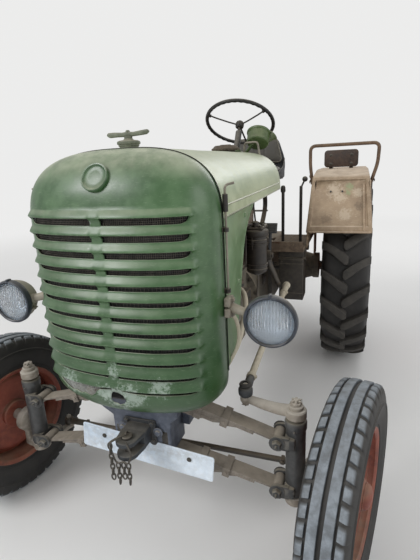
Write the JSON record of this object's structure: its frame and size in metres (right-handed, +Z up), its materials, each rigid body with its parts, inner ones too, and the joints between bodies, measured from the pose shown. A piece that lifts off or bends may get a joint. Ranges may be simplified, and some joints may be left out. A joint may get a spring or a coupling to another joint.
{
  "type": "vintage two-cylinder farm tractor",
  "caption": "Old green narrow farm tractor with a louvred rounded nose, leaf-sprung front wheels, lugged rear tyres and boxy fenders.",
  "frame": {"origin": "on the floor under the middle of the tractor's box", "axes": "+X to the tractor's left, +Y to its rear, +Z up; it faces -Y"},
  "size_m": [1.6744, 2.8365, 1.7191],
  "materials": {
    "bonnet_green": "satin",
    "dark_green": "satin",
    "cast_grey": "matt",
    "oily_grey": "matt",
    "dusty_steel": "matt",
    "rust": "matt",
    "primer": "matt",
    "white_plate": "satin",
    "cream": "satin",
    "radiator_black": "matt",
    "lens_glass": "gloss",
    "rubber": "matt",
    "black_plastic": "satin",
    "seat_cover": "matt",
    "wheel_red": "matt"
  },
  "bodies": {
    "chassis": {"front_bolster": "cast_grey", "front_springs": "dusty_steel", "kingpin_carriers": "oily_grey", "tow_jaw": "rust", "tow_pin": "rust", "number_plate": "white_plate", "nose_shell": "bonnet_green", "radiator": "radiator_black", "fan_drive": "dusty_steel", "bonnet": "bonnet_green", "side_panels": "bonnet_green", "bonnet_latches": "oily_grey", "filler_caps": "dusty_steel", "bonnet_handle": "dusty_steel", "headlights": "dusty_steel", "headlight_lenses": "lens_glass", "engine_block": "cast_grey", "engine_covers": "cast_grey", "exhaust": "rust", "air_cleaner": "oily_grey", "transmission": "cast_grey", "rear_axle": "cast_grey", "steering_box": "cast_grey", "platform": "primer", "pedals_and_levers": "oily_grey", "instrument_pod": "dark_green", "seat_spring": "oily_grey", "driver_seat": "seat_cover", "fenders": "primer", "fender_seats": "rust", "drawbar": "oily_grey"},
    "steering_wheel": {"steering_wheel": "black_plastic"},
    "drop_arm": {"drop_arm": "oily_grey"},
    "drag_link": {"drag_link": "cream"},
    "knuckle_left": {"knuckle_left": "dusty_steel"},
    "knuckle_right": {"knuckle_right": "dusty_steel"},
    "tie_rod": {"tie_rod": "oily_grey"},
    "front_wheel_left": {"front_wheel_left": "wheel_red", "front_tyre_left": "rubber"},
    "front_wheel_right": {"front_wheel_right": "wheel_red", "front_tyre_right": "rubber"},
    "rear_wheel_left": {"rear_wheel_left": "wheel_red", "rear_tyre_left": "rubber"},
    "rear_wheel_right": {"rear_wheel_right": "wheel_red", "rear_tyre_right": "rubber"}
  },
  "joints": [
    {"name": "steer_left", "type": "hinge", "parent": "chassis", "child": "knuckle_left", "pos_m": [0.537, -1.037, 0.35], "axis": [0, 0, 1], "range_deg": [-23.2, 46.8]},
    {"name": "steer_right", "type": "hinge", "parent": "chassis", "child": "knuckle_right", "pos_m": [-0.537, -1.037, 0.35], "axis": [0, 0, 1], "range_deg": [-23.21, 46.81]},
    {"name": "tie_rod_turn", "type": "hinge", "parent": "knuckle_left", "child": "tie_rod", "pos_m": [0.56767, -0.89017, 0.266], "axis": [0, 0, 1], "range_deg": [-46.81, 23.21]},
    {"name": "drag_link_turn", "type": "hinge", "parent": "knuckle_left", "child": "drag_link", "pos_m": [0.3608, -1.00019, 0.613], "axis": [0, 0, 1], "range_deg": [-46.81, 23.21]},
    {"name": "drop_arm_swing", "type": "hinge", "parent": "chassis", "child": "drop_arm", "pos_m": [0.2, -0.072, 0.88], "axis": [1, 0, 0], "range_deg": [-52.72, 26.14]},
    {"name": "steering_wheel_turn", "type": "hinge", "parent": "chassis", "child": "steering_wheel", "pos_m": [0, 0.398, 1.6], "axis": [0, 0.5299, 0.848], "range_deg": [-324.81, 655.21]},
    {"name": "front_wheel_left_spin", "type": "hinge", "parent": "knuckle_left", "child": "front_wheel_left", "pos_m": [0.70439, -1.07197, 0.35], "axis": [0.9789, -0.2045, 0], "continuous": true},
    {"name": "front_wheel_right_spin", "type": "hinge", "parent": "knuckle_right", "child": "front_wheel_right", "pos_m": [-0.70439, -1.00203, 0.35], "axis": [0.9789, -0.2045, 0], "continuous": true},
    {"name": "rear_wheel_left_spin", "type": "hinge", "parent": "chassis", "child": "rear_wheel_left", "pos_m": [0.658, 0.798, 0.617], "axis": [1, 0, 0], "continuous": true},
    {"name": "rear_wheel_right_spin", "type": "hinge", "parent": "chassis", "child": "rear_wheel_right", "pos_m": [-0.658, 0.798, 0.617], "axis": [1, 0, 0], "continuous": true}
  ],
  "couplings": [
    {"joint": "steer_right", "follows": "steer_left", "ratio": 1},
    {"joint": "tie_rod_turn", "follows": "steer_left", "ratio": -1},
    {"joint": "drag_link_turn", "follows": "steer_left", "ratio": -1},
    {"joint": "drop_arm_swing", "follows": "steer_left", "ratio": -1.1263},
    {"joint": "steering_wheel_turn", "follows": "steer_left", "ratio": 14}
  ]
}
